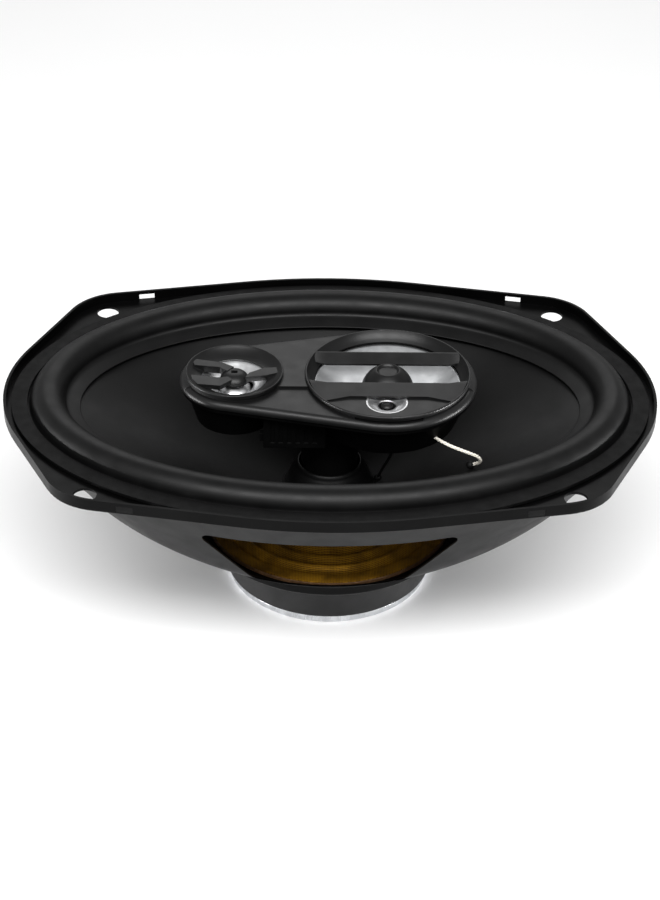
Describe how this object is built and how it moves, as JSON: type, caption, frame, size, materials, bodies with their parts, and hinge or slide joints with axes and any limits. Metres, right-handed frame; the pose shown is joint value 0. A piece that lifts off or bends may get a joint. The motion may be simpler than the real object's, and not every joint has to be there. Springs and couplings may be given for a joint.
{
  "type": "coaxial car speaker",
  "caption": "Oval coaxial car loudspeaker in black: pressed basket, rubber surround, flat cone and a post-mounted pod with midrange and tweeters.",
  "frame": {"origin": "centre of the four flange screw holes, on the rear face of the flange (the mounting plane)", "axes": "+Z out of the front towards the listener, +X along the long axis towards the midrange, +Y along the short axis towards the terminals"},
  "size_m": [0.238, 0.165, 0.0866],
  "materials": {
    "steel_black": "satin black paint over pressed steel",
    "zinc_plate": "bright zinc plate",
    "ferrite": "dark grey ferrite",
    "gasket": "matte black board",
    "rubber": "soft satin rubber",
    "cone": "satin black cone",
    "gloss_black": "gloss black",
    "spider_cloth": "resin treated amber cloth",
    "kapton": "amber former film",
    "copper": "enamelled copper wire",
    "pod_plastic": "satin black moulded plastic",
    "silver_cone": "silver metallised film",
    "chrome": "bright reflector",
    "magnet_plate": "nickel plate",
    "board": "brown fibre board",
    "brass_blade": "tinned brass",
    "tinsel": "braided tinsel",
    "black_lead": "black sleeving",
    "dark_glue": "black adhesive"
  },
  "bodies": {
    "chassis": {"basket": "steel_black", "basket_rivets": "zinc_plate", "gasket": "gasket", "surround": "rubber", "top_plate": "zinc_plate", "magnet": "ferrite", "back_plate": "zinc_plate", "spider": "spider_cloth", "spider_ring": "board", "post": "gloss_black", "post_screw": "zinc_plate", "pod_base": "pod_plastic", "pod_screws": "zinc_plate", "pod_cover": "pod_plastic", "crossover_box": "pod_plastic", "crossover_board": "board", "crossover_capacitors": "gloss_black", "midrange_frame": "steel_black", "midrange_surround": "rubber", "midrange_pole_plate": "magnet_plate", "midrange_magnet": "magnet_plate", "midrange_yoke": "magnet_plate", "midrange_grille": "pod_plastic", "super_tweeter_reflector": "chrome", "super_tweeter_housing": "pod_plastic", "tweeter_grille": "pod_plastic", "tweeter_reflector": "chrome", "tweeter_pole_plate": "magnet_plate", "tweeter_magnet": "magnet_plate", "tweeter_yoke": "magnet_plate", "terminal_board": "board", "terminal_rivets": "brass_blade", "terminal_positive": "brass_blade", "terminal_negative": "brass_blade", "tinsel_lead_positive": "tinsel", "tinsel_lead_negative": "tinsel", "pod_lead_bright": "tinsel", "pod_lead_black": "black_lead"},
    "woofer": {"cone": "cone", "dust_cap": "gloss_black", "voice_coil_former": "kapton", "voice_coil": "copper", "lead_eyelets": "dark_glue"},
    "midrange": {"midrange_cone": "silver_cone", "midrange_dust_cap": "pod_plastic", "midrange_coil": "copper"},
    "tweeter": {"tweeter_dome": "rubber", "tweeter_coil": "copper"},
    "super_tweeter": {"super_tweeter_dome": "gloss_black"}
  },
  "joints": [
    {"name": "woofer_travel", "type": "slide", "parent": "chassis", "child": "woofer", "axis": [0, 0, 1], "range_m": [-0.004, 0.004], "stiffness_N_per_m": 2500, "deforming": ["surround", "spider", "tinsel_lead_positive", "tinsel_lead_negative", "pod_lead_bright", "pod_lead_black"]},
    {"name": "midrange_travel", "type": "slide", "parent": "chassis", "child": "midrange", "axis": [0, 0, 1], "range_m": [-0.0004, 0.0004], "stiffness_N_per_m": 1500, "deforming": ["midrange_surround"]},
    {"name": "tweeter_travel", "type": "slide", "parent": "chassis", "child": "tweeter", "axis": [0, 0, 1], "range_m": [-0.0003, 0.0003], "stiffness_N_per_m": 900},
    {"name": "super_tweeter_travel", "type": "slide", "parent": "chassis", "child": "super_tweeter", "axis": [0, 0, 1], "range_m": [-0.00015, 0.00015], "stiffness_N_per_m": 600}
  ]
}
